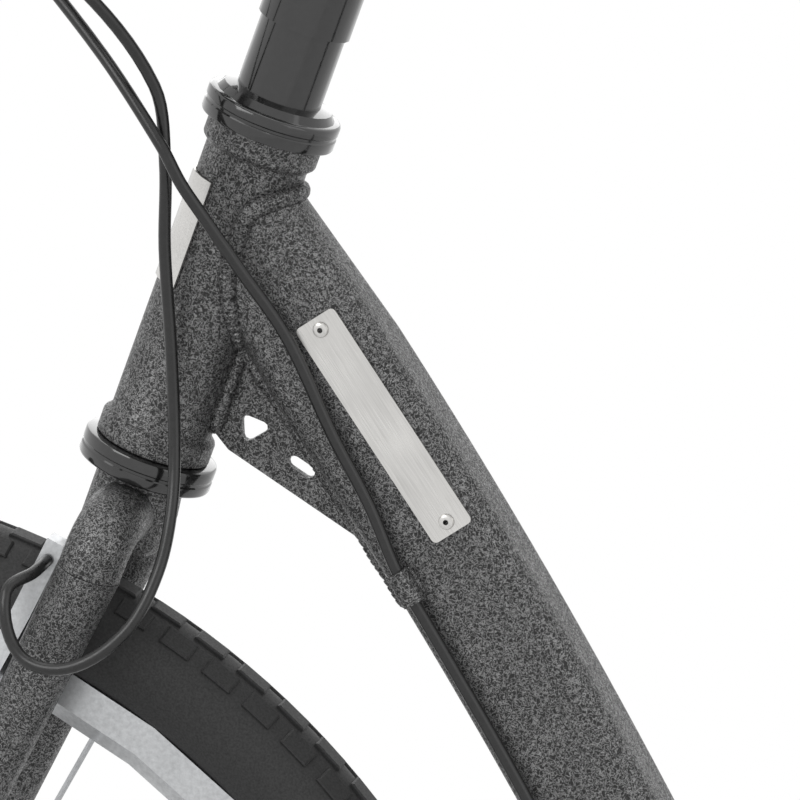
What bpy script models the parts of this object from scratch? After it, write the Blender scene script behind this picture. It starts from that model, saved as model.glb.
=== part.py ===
"""Kick bike: spoked wheels, curved main tube with gusset, low footboard, rim brakes and a two-leg stand.

The front points to -X, the left side to -Y and up is +Z. Sizes below are in millimetres and are turned
into metres when a mesh is made. Side views are drawn as (x, z) pairs.
"""
import math

import bmesh
import bpy
from mathutils import Matrix, Vector

# Wheels
FRONT_TYRE_R = 330.0
REAR_TYRE_R = 248.0
TYRE_W = 46.0
RIM_DEPTH = 20.0
RIM_W = 27.0
WHEELBASE = 1180.0
SPOKE_W = 2.4
FRONT_SPOKES = 28
WHEEL_FACETS = 40
REAR_SPOKES = 20
HUB_FLANGE_R = 21.0
HUB_BODY_R = 12.0
HUB_FLANGE_SPAN = 58.0
HUB_FLANGE_T = 4.0
AXLE_R = 5.0
FRONT_DROP_SPAN = 100.0
REAR_DROP_SPAN = 110.0

# Steering line
HEAD_ANGLE = math.radians(70.0)
AXLE_TO_CROWN = 372.0
FORK_RAKE = 38.0
HEAD_LEN = 138.0
HEAD_R = 21.0
HEAD_RIM_R = 23.5
HEAD_RIM_LEN = 9.0
HEAD_BORE_R = 18.5
STEERER_R = 14.3
CUP_R = 27.5
CUP_H = 11.0
SEAT = 0.3
STEM_H = 42.0
STEM_REACH = 95.0
STEM_RISE = 28.0
BAR_R = 11.1
BAR_CLAMP_R = 15.9
BAR_W = 580.0
BAR_RISE = 70.0
BAR_SWEEP = 26.0
GRIP_R = 16.5
GRIP_LEN = 125.0

# Main tube and gusset
TUBE_W = 40.0
TUBE_D_HEAD = 54.0
TUBE_D_TAIL = 45.0
TUBE_ROUND = 10.0
GUSSET_T = 4.0
PLATE_L = 101.0
PLATE_W = 18.6
PLATE_T = 1.2
PLATE_TURN = math.radians(56.0)
RIVET_R = 3.2
RIVET_H = 1.2

# Footboard and rear
DECK_Z = 112.0
DECK_L = 348.0
DECK_W = 135.0
DECK_T = 4.0
RAIL_W = 25.0
RAIL_H = 30.0
STAY_R = 9.0
STAND_R = 7.0
STAND_SPREAD = 105.0
STAND_FOOT_R = 10.0
CABLE_R = 2.5
PAD_GAP = 1.2

MM = 0.001
X_FRONT = FRONT_TYRE_R - (FRONT_TYRE_R + WHEELBASE + REAR_TYRE_R) / 2.0
X_REAR = X_FRONT + WHEELBASE
FRONT_AXLE = Vector((X_FRONT, 0.0, FRONT_TYRE_R))
REAR_AXLE = Vector((X_REAR, 0.0, REAR_TYRE_R))
HEAD_UP = Vector((math.cos(HEAD_ANGLE), 0.0, math.sin(HEAD_ANGLE)))
HEAD_BACK = Vector((math.sin(HEAD_ANGLE), 0.0, -math.cos(HEAD_ANGLE)))
SIDE = Vector((0.0, 1.0, 0.0))
CROWN = FRONT_AXLE + HEAD_UP * AXLE_TO_CROWN + HEAD_BACK * FORK_RAKE
HEAD_BOTTOM = CROWN + HEAD_UP * (CUP_H + 1.5)
HEAD_TOP = HEAD_BOTTOM + HEAD_UP * HEAD_LEN


def clear_scene():
    for obj in list(bpy.data.objects):
        bpy.data.objects.remove(obj, do_unlink=True)


def material(name, color, metallic, roughness):
    mat = bpy.data.materials.new(name)
    mat.use_nodes = True
    shader = mat.node_tree.nodes["Principled BSDF"]
    shader.inputs["Base Color"].default_value = (*color, 1.0)
    shader.inputs["Metallic"].default_value = metallic
    shader.inputs["Roughness"].default_value = roughness
    mat.diffuse_color = (*color, 1.0)
    return mat


LOOKS = {
    "silver_vein_coat": ((0.14, 0.14, 0.15), 0.4, 0.45),
    "black_gloss": ((0.02, 0.02, 0.02), 0.0, 0.15),
    "black_satin": ((0.03, 0.03, 0.03), 0.2, 0.4),
    "brushed_steel": ((0.72, 0.71, 0.69), 1.0, 0.35),
    "alloy": ((0.7, 0.7, 0.72), 1.0, 0.3),
    "tyre_rubber": ((0.025, 0.025, 0.025), 0.0, 0.8),
    "grip_rubber": ((0.04, 0.04, 0.04), 0.0, 0.7),
    "cable_housing": ((0.03, 0.03, 0.035), 0.0, 0.35),
    "steel_zinc": ((0.6, 0.6, 0.6), 1.0, 0.4),
}
MATS = {}


def finish(bm, name, look, parent=None, hidden=False, smooth=35.0):
    """Turns a mesh in millimetres into a named object in metres with its look."""
    bmesh.ops.remove_doubles(bm, verts=bm.verts, dist=0.0005)
    bmesh.ops.recalc_face_normals(bm, faces=bm.faces)
    if bm.calc_volume(signed=True) < 0:
        bmesh.ops.reverse_faces(bm, faces=bm.faces)
    bmesh.ops.scale(bm, vec=(MM, MM, MM), verts=bm.verts)
    mesh = bpy.data.meshes.new(name)
    bm.to_mesh(mesh)
    bm.free()
    obj = bpy.data.objects.new(name, mesh)
    bpy.context.scene.collection.objects.link(obj)
    if look not in MATS:
        MATS[look] = material(look, *LOOKS[look])
    mesh.materials.append(MATS[look])
    mesh.shade_smooth()
    mesh.set_sharp_from_angle(angle=math.radians(smooth))
    if hidden:
        obj.hide_render = True
        obj.display_type = "WIRE"
    if parent is not None:
        obj.parent = parent
        obj.matrix_parent_inverse = parent.matrix_basis.inverted()
    return obj


def pivot(name, point, parent=None):
    """An empty on a joint's axis, which the pieces of a moving body hang from."""
    empty = bpy.data.objects.new(name, None)
    bpy.context.scene.collection.objects.link(empty)
    empty.matrix_basis = Matrix.Translation(point * MM)
    if parent is not None:
        empty.parent = parent
        empty.matrix_parent_inverse = parent.matrix_basis.inverted()
    return empty


def frame_for(axis):
    """Two directions square to an axis."""
    axis = axis.normalized()
    helper = SIDE if abs(axis.dot(SIDE)) < 0.9 else Vector((0.0, 0.0, 1.0))
    u = axis.cross(helper).normalized()
    return u, axis.cross(u).normalized()


def loft(bm, rings, closed=False):
    """Skins rings of equal count into one surface, with flat ends unless it is closed."""
    loops = [[bm.verts.new(p) for p in ring] for ring in rings]
    pairs = list(zip(loops, loops[1:]))
    if closed:
        pairs.append((loops[-1], loops[0]))
    for low, high in pairs:
        for i in range(len(low)):
            j = (i + 1) % len(low)
            bm.faces.new((low[i], low[j], high[j], high[i]))
    if not closed:
        bm.faces.new(list(reversed(loops[0])))
        bm.faces.new(loops[-1])


def revolve(bm, start, axis, profile, count):
    """Turns (radius, height) pairs about an axis. A closed profile gives a ring, radius 0 a tip."""
    u, v = frame_for(axis)
    axis = axis.normalized()
    ringed = all(r > 0 for r, h in profile)
    rows = []
    for r, h in profile:
        if r == 0:
            rows.append([bm.verts.new(start + axis * h)])
            continue
        rows.append([
            bm.verts.new(start + axis * h + (u * math.cos(a) + v * math.sin(a)) * r)
            for a in (2 * math.pi * k / count for k in range(count))
        ])
    pairs = list(zip(rows, rows[1:]))
    if ringed:
        pairs.append((rows[-1], rows[0]))
    for low, high in pairs:
        for k in range(count):
            m = (k + 1) % count
            if len(low) == 1 and len(high) > 1:
                bm.faces.new((low[0], high[m], high[k]))
            elif len(high) == 1 and len(low) > 1:
                bm.faces.new((low[k], low[m], high[0]))
            elif len(low) > 1:
                bm.faces.new((low[k], low[m], high[m], high[k]))


def rod(bm, a, b, r, count=12, r2=None):
    """A solid round bar from a to b."""
    r2 = r if r2 is None else r2
    length = (b - a).length
    revolve(bm, a, b - a, [(0, 0), (r, 0), (r2, length), (0, length)], count)


def pipe(bm, a, b, outer, inner, count=24):
    """A straight tube with open ends."""
    length = (b - a).length
    revolve(bm, a, b - a, [(outer, 0), (outer, length), (inner, length), (inner, 0)], count)


def box(bm, low, high):
    x0, y0, z0 = low
    x1, y1, z1 = high
    rings = [[Vector((x, y, z)) for x, y in ((x0, y0), (x1, y0), (x1, y1), (x0, y1))] for z in (z0, z1)]
    loft(bm, rings)


def rounded_section(center, across, depth_dir, width, depth, radius, per_corner=3):
    """A rounded rectangle: width along across, depth along depth_dir."""
    points = []
    corners = ((1, 1, 0), (-1, 1, 1), (-1, -1, 2), (1, -1, 3))
    for sx, sy, q in corners:
        cx = sx * (width / 2 - radius)
        cy = sy * (depth / 2 - radius)
        for k in range(per_corner + 1):
            a = math.pi / 2 * (q + k / per_corner)
            points.append(center + across * (cx + radius * math.cos(a)) + depth_dir * (cy + radius * math.sin(a)))
    return points


def sweep(bm, path, r, count=10):
    """A round bar along a bent path, with flat ends square to it."""
    rings = []
    normal = None
    for i, p in enumerate(path):
        ahead = path[min(i + 1, len(path) - 1)] - path[max(i - 1, 0)]
        ahead.normalize()
        if normal is None:
            normal = frame_for(ahead)[0]
        normal = (normal - ahead * normal.dot(ahead)).normalized()
        other = ahead.cross(normal)
        rings.append([
            p + (normal * math.cos(2 * math.pi * k / count) + other * math.sin(2 * math.pi * k / count)) * r
            for k in range(count)
        ])
    loft(bm, rings)


def curve_points(anchors, steps):
    """A smooth path through anchors, by centripetal-like Hermite pieces."""
    points = []
    last = len(anchors) - 1
    for i in range(last):
        a, b = anchors[i], anchors[i + 1]
        before = anchors[i - 1] if i else a - (b - a)
        after = anchors[i + 2] if i + 2 <= last else b + (b - a)
        span = (b - a).length
        ta = (b - before).normalized() * span
        tb = (after - a).normalized() * span
        for k in range(steps):
            t = k / steps
            points.append(
                a * (2 * t**3 - 3 * t**2 + 1)
                + ta * (t**3 - 2 * t**2 + t)
                + b * (-2 * t**3 + 3 * t**2)
                + tb * (t**3 - t**2)
            )
    points.append(anchors[-1].copy())
    return points


def fillet_path(corners, radius, steps=6):
    """A path through corners whose bends are rounded to a radius."""
    points = [corners[0].copy()]
    for i in range(1, len(corners) - 1):
        a, b, c = corners[i - 1], corners[i], corners[i + 1]
        u, w = (a - b).normalized(), (c - b).normalized()
        half = u.angle(w) / 2
        cut = radius / math.tan(half)
        middle = b + (u + w).normalized() * (radius / math.sin(half))
        p, q = b + u * cut - middle, b + w * cut - middle
        turn = p.angle(q)
        axis = p.cross(q).normalized()
        for k in range(steps + 1):
            points.append(middle + Matrix.Rotation(turn * k / steps, 3, axis) @ p)
    points.append(corners[-1].copy())
    return points


def slab(bm, outline, y0, y1):
    """A plate whose (x, z) outline stands from y0 to y1."""
    loft(bm, [[Vector((x, y, z)) for x, z in outline] for y in (y0, y1)])


def boolean(obj, cutter, operation="DIFFERENCE"):
    mod = obj.modifiers.new(f"{operation.lower()}_{cutter.name}", "BOOLEAN")
    mod.operation = operation
    mod.object = cutter
    mod.solver = "EXACT"
    return mod


def at(base, x, y, z):
    return base + Vector((x, y, z))


def tube_center(s):
    """Point and direction of the main tube's centreline, at a length from the steering axis."""
    start_angle = math.radians(54.5)
    angle = start_angle + s / TUBE_BEND_R
    x = TUBE_BEND_R * (math.sin(angle) - math.sin(start_angle))
    z = TUBE_BEND_R * (math.cos(angle) - math.cos(start_angle))
    point = HEAD_BOTTOM + Vector((TUBE_START[0] + x, 0.0, TUBE_START[1] + z))
    return point, Vector((math.cos(angle), 0.0, -math.sin(angle)))


def tube_ring(s, extra=0.0):
    point, ahead = tube_center(s)
    up = ahead.cross(SIDE)
    share = min(1.0, s / TUBE_LEN)
    depth = TUBE_D_HEAD + (TUBE_D_TAIL - TUBE_D_HEAD) * share
    return rounded_section(point, SIDE, up, TUBE_W + extra, depth + extra, TUBE_ROUND + extra / 2)


def tube_mesh(extra=0.0):
    """The main tube's skin, its head end sheared to stand along the steering axis."""
    bm = bmesh.new()
    stations = [0.0, 60.0, 120.0, 180.0, 250.0, 330.0, 410.0, 490.0, 570.0, 650.0, TUBE_LEN]
    rings = [tube_ring(s, extra) for s in stations]
    ahead = tube_center(0.0)[1]
    reach = ahead.dot(HEAD_BACK)
    rings[0] = [p + ahead * ((2.0 - (p - HEAD_BOTTOM).dot(HEAD_BACK)) / reach) for p in rings[0]]
    loft(bm, rings)
    return bm


TUBE_BEND_R = 2400.0
TUBE_LEN = 770.0
TUBE_START = (36.1, 92.9)


def head_ring(name, look, profile, start, axis, count=24, parent=None):
    bm = bmesh.new()
    revolve(bm, start, axis, profile, count)
    return finish(bm, name, look, parent)


def cutter_rod(name, a, b, r, count=24):
    bm = bmesh.new()
    rod(bm, a, b, r, count)
    return finish(bm, name, "black_satin", hidden=True)


def rounded_outline(corners, radius, steps=3):
    """An (x, z) outline whose corners are rounded."""
    points = []
    count = len(corners)
    for i in range(count):
        a, b, c = (Vector(corners[(i + k) % count]) for k in (-1, 0, 1))
        u, w = (a - b).normalized(), (c - b).normalized()
        half = u.angle(w) / 2
        middle = b + (u + w).normalized() * (radius / math.sin(half))
        p, q = b + u * (radius / math.tan(half)) - middle, b + w * (radius / math.tan(half)) - middle
        turn = p.angle_signed(q)
        for k in range(steps + 1):
            a2 = -turn * k / steps
            points.append((
                middle.x + p.x * math.cos(a2) - p.y * math.sin(a2),
                middle.y + p.x * math.sin(a2) + p.y * math.cos(a2),
            ))
    return points


def obround(center, turn, length, width, steps=6):
    points = []
    for side in (1, -1):
        for k in range(steps + 1):
            a = -math.pi / 2 + math.pi * k / steps + (0 if side == 1 else math.pi)
            x = side * (length - width) / 2 + width / 2 * math.cos(a)
            z = width / 2 * math.sin(a)
            points.append((
                center[0] + x * math.cos(turn) - z * math.sin(turn),
                center[1] + x * math.sin(turn) + z * math.cos(turn),
            ))
    return points


def shifted(outline):
    return [(x + HEAD_BOTTOM.x, z + HEAD_BOTTOM.z) for x, z in outline]


def build_head():
    rim, long, bore = HEAD_RIM_R, HEAD_RIM_LEN, HEAD_BORE_R
    profile = [
        (rim, 0.8), (rim, long), (HEAD_R, long + 5), (HEAD_R, HEAD_LEN - long - 5), (rim, HEAD_LEN - long),
        (rim, HEAD_LEN - 0.8), (rim - 0.8, HEAD_LEN), (bore, HEAD_LEN), (bore, 0), (rim - 0.8, 0),
    ]
    head_ring("head_tube", "silver_vein_coat", profile, HEAD_BOTTOM, HEAD_UP)
    for name, base, axis in (("lower_headset", HEAD_BOTTOM, -HEAD_UP), ("upper_headset", HEAD_TOP, HEAD_UP)):
        skirt = bore - SEAT
        cup = [
            (skirt, -8.0), (skirt, SEAT), (CUP_R, SEAT), (CUP_R, 6.5), (CUP_R - 3.0, CUP_H), (BEARING_R + SEAT, CUP_H),
            (BEARING_R + SEAT, 3.0), (skirt - 1.6, 3.0), (skirt - 1.6, -8.0),
        ]
        head_ring(f"{name}_cup", "black_gloss", cup, base, axis)
        bearing = [(STEERER_R + SEAT, 3.4), (BEARING_R, 3.4), (BEARING_R, CUP_H), (STEERER_R + SEAT, CUP_H)]
        head_ring(f"{name}_bearing", "brushed_steel", bearing, base, axis, 24)


BEARING_R = 21.0
TOP_STACK = CUP_H + SEAT


def build_main_tube():
    main = finish(tube_mesh(), "main_tube", "silver_vein_coat")
    head_clear = cutter_rod("head_clear", HEAD_BOTTOM - HEAD_UP * 5, HEAD_TOP + HEAD_UP * 5, HEAD_R + SEAT, 64)
    boolean(main, head_clear)
    bm = bmesh.new()
    box(bm, (-150, -60, 0), (150, 60, DECK_Z + SEAT))
    floor_cut = finish(bm, "deck_plane", "black_satin", hidden=True)
    boolean(main, floor_cut)
    tube_clear = finish(tube_mesh(2 * SEAT), "tube_clear", "black_satin", hidden=True)

    bm = bmesh.new()
    corners = [(29.0, 36.6), (58.0, 36.6), (109.0, -32.0), (98.0, -42.6), (31.5, -0.3), (24.5, 8.2), (14.0, 12.0)]
    slab(bm, shifted(corners), -GUSSET_T / 2, GUSSET_T / 2)
    gusset = finish(bm, "gusset_plate", "silver_vein_coat")
    boolean(gusset, head_clear)
    boolean(gusset, tube_clear)
    bm = bmesh.new()
    triangle = rounded_outline([(37.0, 15.0), (50.5, 10.0), (37.5, 2.0)], 2.2)
    slab(bm, shifted(triangle), -10, 10)
    slab(bm, shifted(obround((61.5, -6.0), GUSSET_SLOPE, 12.0, 5.0)), -10, 10)
    boolean(gusset, finish(bm, "gusset_holes", "black_satin", hidden=True))


GUSSET_SLOPE = math.radians(-32.5)


def build_name_plate():
    """A plain riveted plate on the tube's left side."""
    face = -TUBE_W / 2 - SEAT
    center = HEAD_BOTTOM + Vector((PLATE_AT[0], face, PLATE_AT[1]))
    down = Vector((math.cos(PLATE_TURN), 0, -math.sin(PLATE_TURN)))
    up = Vector((math.sin(PLATE_TURN), 0, math.cos(PLATE_TURN)))
    bm = bmesh.new()
    rings = []
    for y in (0.0, -PLATE_T):
        at_y = center + SIDE * y
        rings.append(rounded_section(at_y, down, up, PLATE_L, PLATE_W, 2.0, 3))
    loft(bm, rings)
    plate = finish(bm, "name_plate", "brushed_steel")
    for name, sign in (("plate_rivet_upper", -1), ("plate_rivet_lower", 1)):
        spot = center + down * (sign * RIVET_AT)
        hole = cutter_rod(f"{name}_hole", spot + SIDE * 5, spot - SIDE * 5, 2.1, 16)
        boolean(plate, hole)
        top = PLATE_T + SEAT + RIVET_H
        profile = [
            (1.1, 0), (1.8, 0), (1.8, PLATE_T + SEAT), (RIVET_R, PLATE_T + SEAT), (RIVET_R - 0.4, top - 0.4),
            (RIVET_R - 1.3, top), (1.1, top),
        ]
        head_ring(name, "brushed_steel", profile, spot, -SIDE, 20)


PLATE_AT = (99.0, 16.5)
RIVET_AT = 45.3


def guide_at(name, start, along, outer=4.8, length=14.0, hidden=False):
    """A short welded guide that a brake cable runs through."""
    along = along.normalized()
    bm = bmesh.new()
    pipe(bm, start - along * length / 2, start + along * length / 2, outer, CABLE_R + 0.4, 16)
    return finish(bm, name, "silver_vein_coat", hidden=hidden)


def tube_side(s, low=17.5):
    """A point beside the main tube where the rear cable runs."""
    point, ahead = tube_center(s)
    return point + SIDE * CABLE_Y - ahead.cross(SIDE) * low, ahead


CABLE_Y = -(TUBE_W / 2 + SEAT + 4.8)
GUIDE_ONE = 158.0
GUIDE_TWO = 600.0


def build_deck():
    """Two rails with cross-members, welded into one frame, and the board on top."""
    half = DECK_W / 2
    rail_y = half - RAIL_W / 2 - 8.0
    low, high = DECK_Z - RAIL_H, DECK_Z
    pieces = []
    for name, sign in (("deck_frame", -1), ("rail_right", 1)):
        bm = bmesh.new()
        rings = []
        for x in (DECK_X0 - 78.0, DECK_X1):
            center = Vector((x, sign * rail_y, (low + high) / 2))
            rings.append(rounded_section(center, SIDE, Vector((0, 0, 1)), RAIL_W, RAIL_H, 4.0, 2))
        loft(bm, rings)
        pieces.append(finish(bm, name, "silver_vein_coat", hidden=sign == 1))
    frame = pieces[0]
    boolean(frame, pieces[1], "UNION")
    for name, x0, x1 in (("cross_front", -48.0, 22.0), ("cross_mid", 120.0, 145.0), ("cross_rear", 309.0, 339.0)):
        bm = bmesh.new()
        box(bm, (x0, -rail_y, low + 3.0), (x1, rail_y, high - 0.01 - (0 if name == "cross_front" else 2.0)))
        boolean(frame, finish(bm, name, "silver_vein_coat", hidden=True), "UNION")

    bm = bmesh.new()
    rings = []
    for z in (DECK_Z + SEAT, DECK_Z + SEAT + DECK_T):
        center = Vector(((DECK_X0 + DECK_X1) / 2, 0, z))
        rings.append(rounded_section(center, Vector((1, 0, 0)), SIDE, DECK_L, DECK_W, 14.0, 4))
    loft(bm, rings)
    finish(bm, "footboard", "alloy")
    bm = bmesh.new()
    rings = []
    for z in (DECK_Z + DECK_T + 2 * SEAT, DECK_Z + DECK_T + 2 * SEAT + 1.2):
        center = Vector(((DECK_X0 + DECK_X1) / 2, 0, z))
        rings.append(rounded_section(center, Vector((1, 0, 0)), SIDE, DECK_L - 16, DECK_W - 16, 10.0, 4))
    loft(bm, rings)
    finish(bm, "deck_grip", "grip_rubber")
    return rail_y, low, frame


DECK_X0 = 26.0
DECK_X1 = DECK_X0 + DECK_L - 30.0


def dropout(name, axle, y, size=19.0, slot_r=AXLE_R + SEAT):
    """A flat axle lug with its hole, standing square to Y."""
    bm = bmesh.new()
    outline = []
    for k in range(16):
        a = 2 * math.pi * k / 16
        outline.append((axle.x + size * math.cos(a), axle.z + size * math.sin(a)))
    slab(bm, outline, y - 3.0, y + 3.0)
    lug = finish(bm, name, "silver_vein_coat", hidden=True)
    hole = cutter_rod(f"{name}_hole", axle + SIDE * (y - 10), axle + SIDE * (y + 10), slot_r, 16)
    return lug, hole


def build_stays(rail_y, low):
    """Rear stays from the rails to the axle lugs, with their brake bosses."""
    for name, sign in (("left", -1), ("right", 1)):
        y0, y1 = sign * rail_y, sign * REAR_DROP_SPAN / 2
        z0 = low + RAIL_H / 2
        path = fillet_path([
            Vector((DECK_X1 + SEAT, y0, z0)), Vector((DECK_X1 + 40, y0, z0)),
            REAR_AXLE + Vector((-13, y1, -7)),
        ], 60.0)
        bm = bmesh.new()
        sweep(bm, path, STAY_R, 12)
        stay = finish(bm, f"rear_stay_{name}", "silver_vein_coat")
        lug, hole = dropout(f"rear_lug_{name}", REAR_AXLE, y1)
        boolean(stay, lug, "UNION")
        boolean(stay, hole)
        boss = rear_brake_point(sign, BOSS_R_REAR, 0.0)
        bm = bmesh.new()
        rod(bm, boss, boss + REAR_OUT * (BOSS_UP + BOSS_LEN), 4.0, 12)
        boolean(stay, finish(bm, f"rear_boss_{name}", "alloy", hidden=True), "UNION")


REAR_ALONG = (Vector((DECK_X1 + 40, 0, DECK_Z - RAIL_H / 2)) - REAR_AXLE).normalized()
REAR_OUT = Vector((REAR_ALONG.z, 0, -REAR_ALONG.x))
BOSS_UP = 10.0
BOSS_LEN = 9.0
BOSS_R_REAR = REAR_TYRE_R - 70.0
BOSS_R_FRONT = FRONT_TYRE_R - 70.0


def rear_brake_point(sign, r, up):
    """On the stay's centreline at a distance from the axle, and above it."""
    base_y = REAR_DROP_SPAN / 2
    rail_y = DECK_W / 2 - RAIL_W / 2 - 8.0
    reach = (Vector((DECK_X1 + 40, 0, DECK_Z - RAIL_H / 2)) - REAR_AXLE).length
    y = base_y + (rail_y - base_y) * r / reach
    return REAR_AXLE + REAR_ALONG * r + SIDE * (sign * y) + REAR_OUT * up


FORK_TOP = HEAD_BOTTOM - HEAD_UP * 46.0
FORK_ALONG = (FORK_TOP - FRONT_AXLE).normalized()
FORK_OUT = Vector((-FORK_ALONG.z, 0, FORK_ALONG.x))
LEG_TOP_Y = 43.0
LEG_R_TOP = 13.0
LEG_R_TIP = 8.0


def front_brake_point(sign, r, up):
    reach = (FORK_TOP - FRONT_AXLE).length
    y = FRONT_DROP_SPAN / 2 + (LEG_TOP_Y - FRONT_DROP_SPAN / 2) * r / reach
    return FRONT_AXLE + FORK_ALONG * r + SIDE * (sign * y) + FORK_OUT * up


def build_fork(body):
    """Steerer and crown in one piece, then a tapered leg on each side."""
    crown_top = CROWN - HEAD_BOTTOM
    base = HEAD_BOTTOM
    bm = bmesh.new()
    down = -(CUP_H + 1.6)
    steer_top = HEAD_LEN + TOP_STACK + SPACER_H + STEM_H - 3.0
    profile = [
        (0, down - 30.0), (15.0, down - 30.0), (18.0, down - 26.0), (18.0, down - 3), (20.0, down - 2), (20.0, down),
        (STEERER_R, down), (STEERER_R, steer_top), (STEERER_R - 2.4, steer_top), (STEERER_R - 2.4, steer_top - 60.0),
        (0, steer_top - 60.0),
    ]
    revolve(bm, base, HEAD_UP, profile, 24)
    crown = finish(bm, "fork_crown_steerer", "silver_vein_coat", body)
    shoulder = HEAD_BOTTOM + HEAD_UP * (down - 14.0)
    bm = bmesh.new()
    bend = fillet_path([
        FORK_TOP + SIDE * -LEG_TOP_Y, shoulder + SIDE * -LEG_TOP_Y, shoulder + SIDE * LEG_TOP_Y,
        FORK_TOP + SIDE * LEG_TOP_Y,
    ], 16.0, 4)
    sweep(bm, bend, LEG_R_TOP, 14)
    boolean(crown, finish(bm, "crown_arms", "silver_vein_coat", hidden=True), "UNION")
    for name, sign in (("left", -1), ("right", 1)):
        top = FORK_TOP + SIDE * (sign * LEG_TOP_Y) - FORK_ALONG * SEAT
        tip = FRONT_AXLE + FORK_ALONG * 14 + SIDE * (sign * FRONT_DROP_SPAN / 2)
        along = tip - top
        turned, other = frame_for(along)
        plane = FORK_TOP - shoulder
        rings = []
        for share in (0.0, 0.25, 0.5, 0.75, 1.0):
            r = LEG_R_TOP + (LEG_R_TIP - LEG_R_TOP) * share
            spot = top + along * share
            rings.append([
                spot + (turned * math.cos(2 * math.pi * k / 14) + other * math.sin(2 * math.pi * k / 14)) * r
                for k in range(14)
            ])
        square = plane.normalized()
        rings[0] = [p + along.normalized() * ((top - p).dot(square) / along.normalized().dot(square)) for p in rings[0]]
        bm = bmesh.new()
        loft(bm, rings)
        leg = finish(bm, f"fork_leg_{name}", "silver_vein_coat", body)
        lug, hole = dropout(f"front_lug_{name}", FRONT_AXLE, sign * FRONT_DROP_SPAN / 2)
        boolean(leg, lug, "UNION")
        boolean(leg, hole)
        boss = front_brake_point(sign, BOSS_R_FRONT, 0.0)
        bm = bmesh.new()
        rod(bm, boss, boss + FORK_OUT * (BOSS_UP + 4 + BOSS_LEN), 4.0, 12)
        boolean(leg, finish(bm, f"front_boss_{name}", "alloy", hidden=True), "UNION")


SPACER_H = 34.0


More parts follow.
